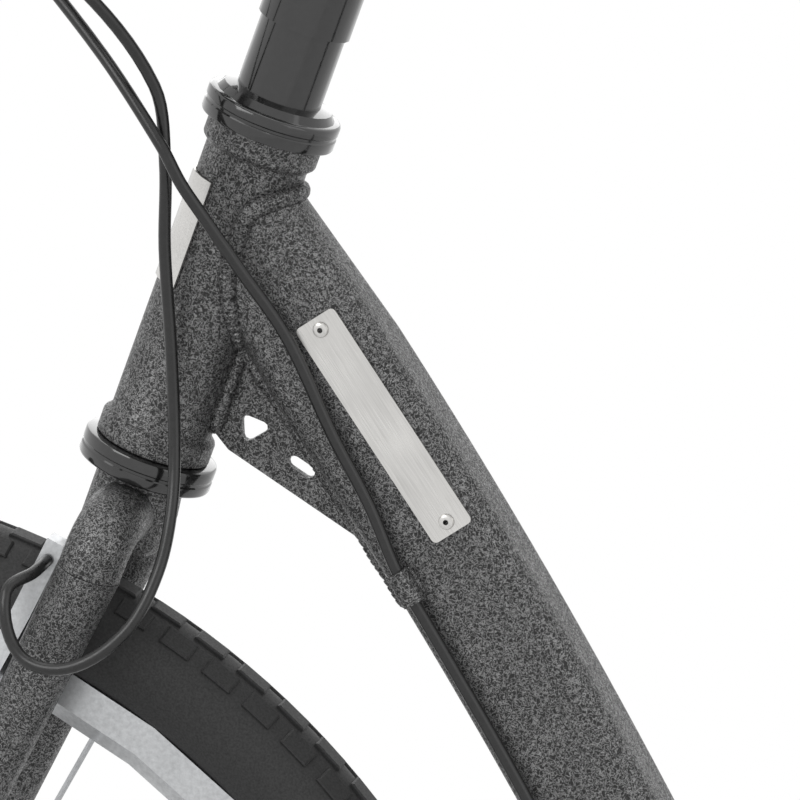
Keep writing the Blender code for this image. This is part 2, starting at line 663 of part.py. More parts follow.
def build_cockpit(body):
    """What the rider steers with: race, spacer, stem, cap, bar and grips."""
    base = HEAD_BOTTOM
    race = [(STEERER_R + SEAT, -CUP_H - 1.3), (19.5, -CUP_H - 1.3), (19.0, -CUP_H - SEAT), (STEERER_R + SEAT, -CUP_H - SEAT)]
    head_ring("crown_race", "brushed_steel", race, base, HEAD_UP, 24, body)
    t = HEAD_LEN + TOP_STACK
    cover = [
        (STEERER_R + SEAT, t), (CUP_R - 3.0, t), (CUP_R - 5.0, t + 3.0), (17.5, t + 4.0), (17.5, t + SPACER_H - SEAT),
        (STEERER_R + SEAT, t + SPACER_H - SEAT),
    ]
    head_ring("top_cover_spacer", "black_gloss", cover, base, HEAD_UP, 24, body)
    t += SPACER_H
    bm = bmesh.new()
    revolve(bm, base, HEAD_UP, [(STEERER_R + SEAT, t), (19.0, t), (19.0, t + STEM_H), (STEERER_R + SEAT, t + STEM_H)], 24)
    stem = finish(bm, "stem", "black_satin", body)
    mid = base + HEAD_UP * (t + STEM_H / 2)
    bm = bmesh.new()
    start = mid - HEAD_BACK * 17.0
    toward = (BAR_CENTER - mid).normalized()
    rings = []
    for dist, width in ((0.0, 34.0), ((BAR_CENTER - start).length - BAR_CLAMP_R - 2.0, 38.0)):
        spot = start + toward * dist
        rings.append(rounded_section(spot, SIDE, toward.cross(SIDE), width, 30.0, 8.0, 3))
    loft(bm, rings)
    arm = finish(bm, "stem_arm", "black_satin", hidden=True)
    boolean(stem, arm, "UNION")
    bm = bmesh.new()
    rod(bm, BAR_CENTER - SIDE * 21, BAR_CENTER + SIDE * 21, BAR_CLAMP_R + 6.0, 24)
    boolean(stem, finish(bm, "stem_clamp", "black_satin", hidden=True), "UNION")
    steer_hole = cutter_rod("stem_steerer_hole", base + HEAD_UP * (t - 20), base + HEAD_UP * (t + 90), STEERER_R + SEAT, 24)
    boolean(stem, steer_hole)
    boolean(stem, cutter_rod("stem_bar_hole", BAR_CENTER - SIDE * 60, BAR_CENTER + SIDE * 60, BAR_CLAMP_R + SEAT, 24))
    bm = bmesh.new()
    rings = []
    for dist in (0.0, 60.0):
        spot = BAR_CENTER + toward * (dist - SEAT)
        rings.append(rounded_section(spot, SIDE, toward.cross(SIDE), 120.0, 80.0, 5.0, 1))
    loft(bm, rings)
    boolean(stem, finish(bm, "stem_front_cut", "black_satin", hidden=True))
    bm = bmesh.new()
    count = 16
    outer = [(BAR_CLAMP_R + 6.0, -math.pi / 2 + math.pi * k / count) for k in range(count + 1)]
    inner = [(BAR_CLAMP_R + SEAT, math.pi / 2 - math.pi * k / count) for k in range(count + 1)]
    lift = toward.cross(SIDE)
    rings = [
        [BAR_CENTER + SIDE * y + toward * (SEAT + r * math.cos(a)) + lift * (r * math.sin(a)) for r, a in outer + inner]
        for y in (-21.0, 21.0)
    ]
    loft(bm, rings)
    finish(bm, "stem_face_plate", "black_satin", body)
    top = t + STEM_H
    cap = [(0, top + SEAT), (17.5, top + SEAT), (17.5, top + 2.5), (16.0, top + 4.0), (4.5, top + 4.0), (4.5, top + 6.0)]
    head_ring("top_cap", "black_satin", cap + [(0, top + 6.0)], base, HEAD_UP, 24, body)
    bm = bmesh.new()
    sweep(bm, BAR_PATH, BAR_R, 16)
    bar = finish(bm, "handlebar", "black_satin", body)
    bm = bmesh.new()
    sleeve = [(0, -26), (BAR_R + 0.2, -26), (BAR_CLAMP_R, -23), (BAR_CLAMP_R, 23), (BAR_R + 0.2, 26), (0, 26)]
    revolve(bm, BAR_CENTER, SIDE, sleeve, 24)
    boolean(bar, finish(bm, "bar_sleeve", "black_satin", hidden=True), "UNION")
    for name, sign in (("left", -1), ("right", 1)):
        end, out = bar_end(sign)
        profile = [
            (0, SEAT), (BAR_R + SEAT, SEAT), (BAR_R + SEAT, -GRIP_LEN), (GRIP_R + 2, -GRIP_LEN), (GRIP_R + 2, -GRIP_LEN + 4),
            (GRIP_R, -GRIP_LEN + 6), (GRIP_R, -8), (GRIP_R + 1, -4), (GRIP_R, 1.5), (GRIP_R - 4, 3), (0, 3),
        ]
        head_ring(f"grip_{name}", "grip_rubber", profile, end, out, 20, body)


STEM_T = HEAD_LEN + TOP_STACK + SPACER_H + STEM_H / 2
BAR_CENTER = HEAD_BOTTOM + HEAD_UP * (STEM_T + STEM_RISE) - HEAD_BACK * STEM_REACH
BAR_PATH = fillet_path([
    BAR_CENTER + Vector((BAR_SWEEP, -BAR_W / 2, BAR_RISE)), BAR_CENTER + Vector((0, -120, BAR_RISE)),
    BAR_CENTER + Vector((0, -62, 0)), BAR_CENTER + Vector((0, 62, 0)), BAR_CENTER + Vector((0, 120, BAR_RISE)),
    BAR_CENTER + Vector((BAR_SWEEP, BAR_W / 2, BAR_RISE)),
], 40.0, 5)


def bar_end(sign):
    """The bar's end and the direction in which it leaves, on one side."""
    end = BAR_CENTER + Vector((BAR_SWEEP, sign * BAR_W / 2, BAR_RISE))
    inner = BAR_CENTER + Vector((0, sign * 120, BAR_RISE))
    return end, (end - inner).normalized()


def lever_frame(sign):
    """Clamp centre on the bar, with directions out, forward and up."""
    end, out = bar_end(sign)
    spot = end - out * (GRIP_LEN + 12.0)
    ahead = Vector((-math.cos(LEVER_DROP), 0, -math.sin(LEVER_DROP)))
    ahead = (ahead - out * ahead.dot(out)).normalized()
    lift = ahead.cross(out) * -sign
    return spot, out, ahead, lift.normalized()


LEVER_DROP = math.radians(30.0)
LEVER_PIVOT = (2.0, 44.0)


def lever_pivot(sign):
    spot, out, ahead, lift = lever_frame(sign)
    return spot + out * LEVER_PIVOT[0] + ahead * LEVER_PIVOT[1], lift


def oriented_box(bm, center, dirs, sizes):
    u, v, w = dirs
    a, b, c = (s / 2 for s in sizes)
    rings = [
        [center + u * (x * a) + v * (y * b) + w * (z * c) for x, y in ((-1, -1), (1, -1), (1, 1), (-1, 1))]
        for z in (-1, 1)
    ]
    loft(bm, rings)


def build_levers(body):
    for name, sign in (("left", -1), ("right", 1)):
        spot, out, ahead, lift = lever_frame(sign)
        bm = bmesh.new()
        pipe(bm, spot - out * 7, spot + out * 7, 15.5, BAR_R + SEAT, 20)
        mount = finish(bm, f"lever_mount_{name}", "black_satin", body)
        bm = bmesh.new()
        oriented_box(bm, spot + ahead * 31 - out * 2, (out, ahead, lift), (22.0, 36.0, 18.0))
        boolean(mount, finish(bm, f"lever_housing_{name}", "black_satin", hidden=True), "UNION")
        bm = bmesh.new()
        rod(bm, spot + ahead * 26 - out * 12, spot + ahead * 26 - out * 22, 4.2, 12)
        boolean(mount, finish(bm, f"barrel_{name}", "black_satin", hidden=True), "UNION")
        bm = bmesh.new()
        oriented_box(bm, spot + ahead * 50 + out * 6.0, (out, ahead, lift), (30.0, 30.0, 10.0))
        boolean(mount, finish(bm, f"lever_slot_{name}", "black_satin", hidden=True))
        point, axis = lever_pivot(sign)
        pin_hole = cutter_rod(f"lever_pin_hole_{name}", point - axis * 30, point + axis * 30, 2.0 + SEAT, 12)
        boolean(mount, pin_hole)
        bm = bmesh.new()
        rod(bm, point - axis * 9.5, point + axis * 9.5, 2.0, 12)
        finish(bm, f"lever_pin_{name}", "steel_zinc", body)
        hand = pivot(f"lever_{name}_pivot", point, body)
        blade = [
            point - out * 5, point + out * 12 + ahead * 3, point + out * 34 + ahead * 9, point + out * 60 + ahead * 11,
            point + out * 88 + ahead * 9, point + out * 108 + ahead * 15,
        ]
        rings = []
        path = curve_points(blade, 3)
        for i, p in enumerate(path):
            along = (path[min(i + 1, len(path) - 1)] - path[max(i - 1, 0)]).normalized()
            wide = 10.0 if i < 2 else 6.0
            tall = 7.0 + 4.0 * min(1.0, max(0, i - 5) / 3)
            rings.append(rounded_section(p, along.cross(lift), lift, wide, tall, 2.5, 2))
        bm = bmesh.new()
        loft(bm, rings)
        blade = finish(bm, f"brake_lever_{name}", "alloy", hand)
        boolean(blade, pin_hole)


def build_wheel(prefix, axle, tyre_r, spokes, drop_span, body):
    """Tyre, rim and laced hub that turn, on an axle that stays with the fork or the stays."""
    seat_r = tyre_r - 42.0
    half = RIM_W / 2
    rim = [
        (seat_r + 2.0, -half), (seat_r + 2.0, -half + 2.5), (seat_r - 5.0, -half + 3.5), (seat_r - 8.0, 0.0),
        (seat_r - 5.0, half - 3.5), (seat_r + 2.0, half - 2.5), (seat_r + 2.0, half), (seat_r - RIM_DEPTH * 0.6, half),
        (seat_r - RIM_DEPTH, 5.0), (seat_r - RIM_DEPTH, -5.0), (seat_r - RIM_DEPTH * 0.6, -half),
    ]
    head_ring(f"{prefix}_rim", "black_satin", rim, axle, SIDE, WHEEL_FACETS, body)
    wide = TYRE_W / 2
    middle = tyre_r - wide
    profile = []
    for k in range(7):
        a = math.radians(-42 + 264 * k / 6)
        profile.append((middle + wide * math.sin(a), wide * math.cos(a)))
    lip, bead = half - 2.9, half - 3.6
    inside = [(seat_r + 2.6, lip), (seat_r - 3.0, bead), (seat_r - 3.0, bead - 2.5), (middle, wide - 3.5)]
    profile += [(r, -y) for r, y in inside] + [(tyre_r - 4.0, 0.0)] + list(reversed(inside))
    head_ring(f"{prefix}_tyre", "tyre_rubber", profile, axle, SIDE, WHEEL_FACETS, body)

    flange = HUB_FLANGE_SPAN / 2
    hub = [
        (HUB_BODY_R, -flange), (HUB_FLANGE_R, -flange), (HUB_FLANGE_R, -flange - HUB_FLANGE_T),
        (HUB_BODY_R + 1, -flange - HUB_FLANGE_T - 1), (HUB_BODY_R + 1, -HUB_HALF), (BEARING_POCKET, -HUB_HALF),
        (BEARING_POCKET, HUB_HALF), (HUB_BODY_R + 1, HUB_HALF), (HUB_BODY_R + 1, flange + HUB_FLANGE_T + 1),
        (HUB_FLANGE_R, flange + HUB_FLANGE_T), (HUB_FLANGE_R, flange), (HUB_BODY_R, flange),
    ]
    shell = head_ring(f"{prefix}_hub_spokes", "brushed_steel", hub, axle, SIDE, 24, body)
    bm = bmesh.new()
    end_r = (seat_r - RIM_DEPTH) * math.cos(math.pi / WHEEL_FACETS) - 0.5
    for k in range(spokes):
        side = 1 if k % 2 else -1
        lean = 1 if (k // 2) % 2 else -1
        rim_a = 2 * math.pi * (k + 0.5) / spokes
        hub_a = rim_a + lean * math.radians(SPOKE_LEAN)
        inside = 1.1 if lean > 0 else -1.1
        hub_r = HUB_FLANGE_R - 4.0
        y_hub = side * (flange + HUB_FLANGE_T / 2 + inside)
        a = axle + Vector((hub_r * math.cos(hub_a), y_hub, hub_r * math.sin(hub_a)))
        b = axle + Vector((end_r * math.cos(rim_a), side * 2.5, end_r * math.sin(rim_a)))
        rod(bm, a, b, SPOKE_W / 2, 4)
    boolean(shell, finish(bm, f"{prefix}_spokes", "brushed_steel", hidden=True), "UNION")
    for name, sign in (("left", -1), ("right", 1)):
        ring = [
            (AXLE_R + SEAT, -BEARING_W), (BEARING_POCKET - SEAT, -BEARING_W), (BEARING_POCKET - SEAT, 0), (AXLE_R + SEAT, 0),
        ]
        head_ring(f"{prefix}_bearing_{name}", "steel_zinc", ring, axle + SIDE * (sign * HUB_HALF), SIDE * sign, 20, body)


HUB_HALF = 40.0
BEARING_POCKET = 9.0
BEARING_W = 8.0
SPOKE_LEAN = 62.0


def build_axle(prefix, axle, drop_span, body):
    """Axle with cones inside the lugs and a nut outside each."""
    outer = drop_span / 2 + 3.0
    inner = drop_span / 2 - 3.0
    profile = [
        (0, -outer - 11), (AXLE_R, -outer - 11), (AXLE_R, -outer - 7), (9.0, -outer - 7), (9.0, -outer - SEAT),
        (AXLE_R, -outer - SEAT), (AXLE_R, -inner + SEAT), (8.0, -inner + SEAT), (8.0, -HUB_HALF - SEAT),
        (AXLE_R, -HUB_HALF - SEAT),
    ]
    profile += [(r, -h) for r, h in reversed(profile)]
    head_ring(f"{prefix}_axle", "steel_zinc", profile, axle, SIDE, 18, body)


def arm_outline(length, lean):
    """A rim brake's arm: wide at its boss, narrow at its top."""
    return [(-8.0, -7.0), (8.0, -7.0), (9.0, 6.0), (lean + 5.5, length * 0.6), (lean + 5.0, length), (lean - 5.0, length)] + [
        (lean - 6.5, length * 0.6), (-9.0, 6.0),
    ]


def build_brake(prefix, point, out, along, boss_r, tyre_r, up0, body):
    """Two rim-brake arms with pads. Each arm turns on its boss, and its top leans to the wheel."""
    arms = []
    for name, sign in (("left", -1), ("right", 1)):
        boss = point(sign, boss_r, 0.0)
        start = boss + out * up0
        hinge = pivot(f"{prefix}_arm_{name}_pivot", start, body)
        inward = SIDE * -sign
        outline = arm_outline(ARM_LEN, ARM_LEAN)
        rings = []
        for h in (0.0, ARM_T):
            ring = [start + out * h + inward * x + along * z for x, z in outline]
            rings.append(ring)
        bm = bmesh.new()
        loft(bm, rings)
        arm = finish(bm, f"{prefix}_brake_arm_{name}", "black_satin", hinge)
        boolean(arm, cutter_rod(f"{prefix}_arm_hole_{name}", start - out * 20, start + out * 30, 4.0 + SEAT, 16))
        pad_r = tyre_r - 42.0 - 6.0
        lift = pad_r - boss_r
        y_in = RIM_W / 2 + PAD_GAP
        edge = 9.0 + (ARM_LEAN - 3.5) * (lift - 6.0) / (ARM_LEN * 0.6 - 6.0)
        y_arm = abs(boss.y) - edge - 0.9
        center = Vector((start.x, 0, start.z)) + along * lift
        pad = bmesh.new()
        length = Vector((out.x, 0, out.z))
        oriented_box(pad, center + SIDE * (sign * (y_in + 4)) + out * (ARM_T / 2), (out, along, SIDE), (PAD_L, 8.0, 8.0))
        shoe = finish(pad, f"{prefix}_brake_pad_{name}", "grip_rubber", hinge)
        post = bmesh.new()
        rod(post, center + SIDE * (sign * (y_in + 6)) + out * (ARM_T / 2), center + SIDE * (sign * (y_arm - SEAT)) + out * (ARM_T / 2), 3.0, 10)
        boolean(shoe, finish(post, f"{prefix}_pad_post_{name}", "steel_zinc", hidden=True), "UNION")
        arms.append(arm)
    return arms


ARM_LEN = 82.0
ARM_LEAN = 15.0
ARM_T = 8.0
PAD_L = 46.0


def build_stand(frame):
    """A two-leg stand on a cross bar that turns in two ears under the deck's tail."""
    for name, sign in (("left", -1), ("right", 1)):
        bm = bmesh.new()
        outline = [(STAND_X - 12, DECK_Z - RAIL_H + 8.0), (STAND_X - 12, STAND_Z - 6), (STAND_X - 6, STAND_Z - 12)]
        outline += [(STAND_X + 6, STAND_Z - 12), (STAND_X + 12, STAND_Z - 6), (STAND_X + 12, DECK_Z - RAIL_H + 8.0)]
        slab(bm, outline, sign * EAR_Y - 3, sign * EAR_Y + 3)
        boolean(frame, finish(bm, f"stand_ear_{name}", "silver_vein_coat", hidden=True), "UNION")
    spot = Vector((STAND_X, 0, STAND_Z))
    boolean(frame, cutter_rod("ear_holes", spot - SIDE * 40, spot + SIDE * 40, STAND_R + SEAT, 20))
    body = pivot("stand_pivot", Vector((STAND_X, 0, STAND_Z)))
    foot_top = 9.0
    path = fillet_path([
        Vector((STAND_X - 6, -STAND_SPREAD, foot_top)), Vector((STAND_X - 6, -STAND_SPREAD, foot_top + 9)),
        Vector((STAND_X, -EAR_Y - 12, STAND_Z)), Vector((STAND_X, EAR_Y + 12, STAND_Z)),
        Vector((STAND_X - 6, STAND_SPREAD, foot_top + 9)), Vector((STAND_X - 6, STAND_SPREAD, foot_top)),
    ], 8.0, 4)
    bm = bmesh.new()
    sweep(bm, path, STAND_R, 14)
    finish(bm, "stand_legs", "black_satin", body)
    for name, sign in (("left", -1), ("right", 1)):
        spot = Vector((STAND_X - 6, sign * STAND_SPREAD, 0))
        foot = [(0, 0), (STAND_FOOT_R + 3, 0), (STAND_FOOT_R, foot_top - SEAT - 1), (STAND_FOOT_R - 1, foot_top - SEAT), (0, foot_top - SEAT)]
        head_ring(f"stand_foot_{name}", "grip_rubber", foot, spot, Vector((0, 0, 1)), 16, body)


STAND_X = 324.0
STAND_Z = 64.0
EAR_Y = 25.0


def build_cables(steer, frame):
    """Both brake housings along their real routes. Points are chosen by eye along tube, rail and stay."""
    base = HEAD_BOTTOM
    spot, out, ahead, lift = lever_frame(1)
    start = spot + ahead * 26 - out * 22.3
    run = [start, start - out * 8, start - out * 40 + Vector((-16, 0, -6)), base + Vector((-100, 52, 240)), at(base, -62, 12, 205)]
    run += [at(base, -14, -20, 160), at(base, 12, -33, 128), at(base, 20.1, -34, 113.4), at(base, 27.8, -32.5, 101.4)]
    run += [at(base, 42.9, -29.0, 78.4), at(base, 60.9, -25.6, 51.3), at(base, 79.6, -25.2, 11.8)]
    run += [tube_side(s, low)[0] for s, low in ((122, 12.5), (GUIDE_ONE - 12, 16.5), (GUIDE_ONE, 17.5))]
    run += [tube_side(s)[0] for s in (GUIDE_ONE + 16, 250, 370, 490, GUIDE_TWO - 16, GUIDE_TWO, GUIDE_TWO + 16, 660)]
    side_y = -(DECK_W / 2 - 8.0 + SEAT + 4.8)
    run += [Vector((-66, -38, 132)), Vector((-68, -58, 112)), Vector((-50, side_y - 2, 101)), Vector((-20, side_y, 97))]
    run += [Vector((x, side_y, 97)) for x in (RAIL_GUIDES[0] - 14, RAIL_GUIDES[0] + 14, 170)]
    run += [Vector((x, side_y, 97)) for x in (RAIL_GUIDES[1] - 14, RAIL_GUIDES[1] + 14)]
    lever_r = BOSS_R_REAR + ARM_LEN - 8.0
    top = rear_brake_point(-1, lever_r, BOSS_UP + ARM_T / 2)
    tip = Vector((top.x, ARM_LEAN - 6.5 + rear_brake_point(-1, BOSS_R_REAR, 0.0).y, top.z))
    run += [Vector((345, side_y - 3, 99)), Vector((376, -71, 114)), tip + Vector((-4, -20, 2)), tip]
    bm = bmesh.new()
    sweep(bm, curve_points(run, 2), CABLE_R, 8)
    finish(bm, "rear_brake_cable", "cable_housing")
    for name, x in (("rail_guide_front", RAIL_GUIDES[0]), ("rail_guide_rear", RAIL_GUIDES[1])):
        ring = guide_at(name, Vector((x, side_y, 97)), Vector((1, 0, 0)), 5.6, hidden=True)
        boolean(frame, ring, "UNION")
    for name, s in (("cable_guide_upper", GUIDE_ONE), ("cable_guide_lower", GUIDE_TWO)):
        spot_s, along = tube_side(s)
        guide_at(name, spot_s, along)

    spot, out, ahead, lift = lever_frame(-1)
    start = spot + ahead * 26 - out * 22.3
    run = [start, start - out * 8, start - out * 34 + Vector((-14, 0, -6)), at(base, -64, -78, 240), at(base, -16, -44, 190)]
    run += [at(base, 8, -26, 150), at(base, 12.2, -26, 120), at(base, 12.2, -27.5, 85.6), at(base, 14.9, -29, 45)]
    run += [at(base, 16.8, -32, 8.7), at(base, 17.5, -40, -16), at(base, 15, -55, -40), at(base, 4, -66, -62)]
    run += [at(base, -18, -71, -76), at(base, -38, -68, -72)]
    top = front_brake_point(-1, BOSS_R_FRONT + ARM_LEN - 8.0, BOSS_UP + 4.0 + ARM_T / 2)
    tip = Vector((top.x, ARM_LEAN - 6.5 + front_brake_point(-1, BOSS_R_FRONT, 0.0).y, top.z))
    run += [tip + Vector((-10, -26, -8)), tip + Vector((-2, -12, -2)), tip]
    bm = bmesh.new()
    sweep(bm, curve_points(run, 3), CABLE_R, 8)
    finish(bm, "front_brake_cable", "cable_housing", steer)


RAIL_GUIDES = (40.0, 300.0)


def build_badge():
    """A plain bright plate bent round the front of the head tube."""
    bm = bmesh.new()
    inner, outer = HEAD_R + SEAT, HEAD_R + SEAT + BADGE_T
    rings = []
    for t in (BADGE_LOW, BADGE_LOW + BADGE_H):
        ring = []
        for r, ends in ((outer, (-BADGE_HALF, BADGE_HALF)), (inner, (BADGE_HALF, -BADGE_HALF))):
            for k in range(9):
                a = ends[0] + (ends[1] - ends[0]) * k / 8
                ring.append(HEAD_BOTTOM + HEAD_UP * t - HEAD_BACK * (r * math.cos(a)) + SIDE * (r * math.sin(a)))
        rings.append(ring)
    loft(bm, rings)
    finish(bm, "head_badge", "brushed_steel")


BADGE_T = 1.0
BADGE_LOW = 68.0
BADGE_H = 46.0
BADGE_HALF = math.radians(62.0)


def main():
    clear_scene()
    build_head()
    build_main_tube()
    build_name_plate()
    build_badge()
    rail_y, low, frame = build_deck()
    build_stays(rail_y, low)
    steer = pivot("steering_axis", HEAD_BOTTOM)
    build_fork(steer)
    build_cockpit(steer)
    build_levers(steer)
    front = pivot("front_wheel_axis", FRONT_AXLE, steer)
    rear = pivot("rear_wheel_axis", REAR_AXLE)
    build_wheel("front", FRONT_AXLE, FRONT_TYRE_R, FRONT_SPOKES, FRONT_DROP_SPAN, front)
    build_wheel("rear", REAR_AXLE, REAR_TYRE_R, REAR_SPOKES, REAR_DROP_SPAN, rear)
    build_axle("front", FRONT_AXLE, FRONT_DROP_SPAN, steer)
    build_axle("rear", REAR_AXLE, REAR_DROP_SPAN, None)
    front_up = BOSS_UP + 4.0
    build_brake("front", front_brake_point, FORK_OUT, FORK_ALONG, BOSS_R_FRONT, FRONT_TYRE_R, front_up, steer)
    build_brake("rear", rear_brake_point, REAR_OUT, REAR_ALONG, BOSS_R_REAR, REAR_TYRE_R, BOSS_UP, None)
    build_stand(frame)
    build_cables(steer, frame)


main()
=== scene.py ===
import math

import bpy
from mathutils import Matrix, Vector


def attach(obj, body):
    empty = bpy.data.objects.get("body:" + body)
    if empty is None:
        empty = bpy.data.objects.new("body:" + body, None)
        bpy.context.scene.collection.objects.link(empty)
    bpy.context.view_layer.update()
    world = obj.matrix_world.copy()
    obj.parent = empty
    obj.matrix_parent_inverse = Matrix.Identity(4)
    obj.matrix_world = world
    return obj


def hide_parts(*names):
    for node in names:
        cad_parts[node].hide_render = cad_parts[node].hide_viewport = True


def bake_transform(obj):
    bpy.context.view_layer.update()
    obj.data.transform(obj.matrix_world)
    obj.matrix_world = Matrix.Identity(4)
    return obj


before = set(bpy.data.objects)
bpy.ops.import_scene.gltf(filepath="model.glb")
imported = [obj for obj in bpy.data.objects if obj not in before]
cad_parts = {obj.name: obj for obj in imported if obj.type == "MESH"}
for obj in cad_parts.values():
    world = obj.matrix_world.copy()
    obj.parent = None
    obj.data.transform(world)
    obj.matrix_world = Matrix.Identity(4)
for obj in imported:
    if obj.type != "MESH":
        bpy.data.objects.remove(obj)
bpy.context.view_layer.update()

MM = 0.001

# Sizes in millimetres, as in the part's source
HEAD_ANGLE = math.radians(70.0)
HEAD_UP = Vector((math.cos(HEAD_ANGLE), 0.0, math.sin(HEAD_ANGLE)))
HEAD_BACK = Vector((math.sin(HEAD_ANGLE), 0.0, -math.cos(HEAD_ANGLE)))
SIDE = Vector((0.0, 1.0, 0.0))
FRONT_AXLE = Vector((-549.0, 0.0, 330.0))
REAR_AXLE = Vector((631.0, 0.0, 248.0))
HEAD_BOTTOM = FRONT_AXLE + HEAD_UP * 384.5 + HEAD_BACK * 38.0
HEAD_LEN = 138.0
HEAD_R = 21.0
TUBE_BEND_R = 2400.0
TUBE_SLOPE = math.radians(54.5)
TUBE_START = (36.1, 92.9)
TUBE_LEN = 770.0
TUBE_W = 40.0
TUBE_DEPTHS = (54.0, 45.0)
TUBE_ROUND = 10.0
TUBE_FOOT_Z = 112.3
GUSSET_S = (40.0, 168.0)
GUIDES_S = (158.0, 600.0)
PLATE_TURN = math.radians(56.0)
TYRE_MINOR = 21.6
TYRE_HALF = 23.0
HEAD_END_ROUND = 19.5
CUP_R = 27.5
CUP_H = 11.0
SEAT = 0.3
ROUND_COUNT = 96
CUP_PROFILE = (
    (20.0, 0.0), (26.6, 0.0), (27.2, 0.3), (CUP_R, 1.0), (CUP_R, 4.6), (26.9, 5.2), (26.9, 6.2),
    (CUP_R, 6.8), (CUP_R, CUP_H - 1.2), (27.1, CUP_H - 0.4), (26.3, CUP_H), (20.0, CUP_H),
)
CABLE_R = 2.5

# Rings of the main tube's skin
FIRST_RING_S = 70.0
RING_STEP = 9.0
FOOT_MARGIN = 6.0

# Weld beads
BEAD_STEP = 0.5
BEAD_PITCH = 3.1
BEAD_SIDES = 12
HEAD_SEAM_R = 3.9
DECK_SEAM_R = 3.0
GUSSET_BEAD_R = 3.3
GUSSET_BEAD_Y = 3.6
GUSSET_BEAD_OUT = 1.2
GUSSET_BEAD_PARTS = 13
GUSSET_HEAD_REACH = 21.7
GUSSET_HEAD_STOPS = (15.0, 25.0, 38.0, 52.0)
GUIDE_BEAD_R = 1.5
GUIDE_BEAD_PITCH = 2.0
GUIDE_BEAD_HALF = 6.4
GUIDE_BEAD_RISE = 4.0
GUIDE_DROP = 17.5

# Tyres: the tread rows as (lean, half width) in radians, and each block's levels as (radius, share)
TYRE_STEPS = 144
TYRE_SIDES = 26
TREAD_ROWS = ((-0.62, 0.20), (0.0, 0.26), (0.62, 0.20))
BLOCK_LEVELS = ((TYRE_MINOR - 0.8, 1.0), (TYRE_MINOR + 0.9, 0.97), (TYRE_HALF, 0.86))
BLOCK_HALF = 0.34

# Cables: steps between route points, and sides round the housing
CABLE_STEPS = 7
CABLE_SIDES = 18

# Brake cable routes, from the lever to the brake
REAR_ROUTE = [
    (-411.88, 135.93, 985.98), (-413.09, 128.02, 985.98), (-433.93, 96.39, 979.98),
    (-481.78, 52.0, 918.32), (-443.78, 12.0, 883.32), (-395.78, -20.0, 838.32),
    (-369.78, -33.0, 806.32), (-361.68, -34.0, 791.72), (-353.98, -32.5, 779.72),
    (-338.88, -29.0, 756.72), (-320.88, -25.6, 729.62), (-302.18, -25.2, 690.12),
    (-287.93, -25.1, 663.4), (-278.56, -25.1, 641.1), (-273.12, -25.1, 630.46),
    (-264.81, -25.1, 616.92), (-226.59, -25.1, 551.87), (-170.49, -25.1, 446.8),
    (-119.71, -25.1, 339.05), (-83.73, -25.1, 252.96), (-77.94, -25.1, 238.17),
    (-72.25, -25.1, 223.34), (-57.12, -25.1, 182.37), (-66.0, -38.0, 132.0),
    (-68.0, -58.0, 112.0), (-50.0, -66.6, 101.0), (-20.0, -64.6, 97.0),
    (26.0, -64.6, 97.0), (54.0, -64.6, 97.0), (170.0, -64.6, 97.0),
    (286.0, -64.6, 97.0), (314.0, -64.6, 97.0), (345.0, -67.6, 99.0),
    (376.0, -71.0, 114.0), (404.69, -61.58, 130.5), (408.69, -41.58, 128.5),
]
FRONT_ROUTE = [
    (-411.88, -135.93, 985.98), (-413.09, -128.02, 985.98), (-431.02, -102.32, 979.98),
    (-445.78, -78.0, 918.32), (-397.78, -44.0, 868.32), (-373.78, -26.0, 828.32),
    (-369.58, -26.0, 798.32), (-369.58, -27.5, 763.92), (-366.88, -29.0, 723.32),
    (-364.98, -32.0, 687.02), (-364.28, -40.0, 662.32), (-366.78, -55.0, 638.32),
    (-377.78, -66.0, 616.32), (-399.78, -71.0, 602.32), (-419.78, -68.0, 606.32),
    (-426.59, -62.16, 629.16), (-418.59, -48.16, 635.16), (-416.59, -36.16, 637.16),
]

# Camera
VIEW_RIGHT = Vector((0.9781, 0.2079, 0.0))
VIEW_UP = Vector((-0.0432, 0.2034, 0.9781))
VIEW_BACK = Vector((0.2034, -0.9568, 0.2079))
VIEW_AIM = (98.8, 17.8)
VIEW_DISTANCE = 3.0
LENS = 337.5
SENSOR_W = 36.0

# Studio, in metres and watts: each lamp's name, place, size and power
FLOOR_R = 1.7
FLOOR_SIDES = 96
FLOOR_COLOUR = (0.86, 0.86, 0.86)
FLOOR_GLOW = 0.6
WORLD_LIGHT = 0.45
LAMP_AIM = Vector((-0.1, 0.0, 0.55))
LAMPS = (
    ("key", (-1.6, -2.2, 2.6), 1.8, 34.0),
    ("fill", (2.4, -1.6, 1.5), 2.0, 9.0),
    ("top", (0.0, 0.6, 3.2), 2.4, 22.0),
    ("rear", (-0.8, 2.6, 1.8), 1.8, 12.0),
)

NODE_SMOOTH = 38.0
NODE_MERGE = 2e-5


def set_camera():
    """The photograph's close view of the junction of head tube and main tube."""
    target = HEAD_BOTTOM + VIEW_RIGHT * VIEW_AIM[0] + VIEW_UP * VIEW_AIM[1]
    data = bpy.data.cameras.new("camera")
    data.lens = LENS
    data.sensor_width = SENSOR_W
    cam = bpy.data.objects.new("camera", data)
    turn = Matrix((VIEW_RIGHT, VIEW_UP, VIEW_BACK)).transposed().to_4x4()
    cam.matrix_world = Matrix.Translation(target * MM + VIEW_BACK * VIEW_DISTANCE) @ turn
    bpy.context.scene.collection.objects.link(cam)
    bpy.context.scene.camera = cam


def new_material(name):
    mat = bpy.data.materials.new(name)
    mat.use_nodes = True
    nodes, links = mat.node_tree.nodes, mat.node_tree.links
    return mat, nodes, links, nodes["Principled BSDF"]


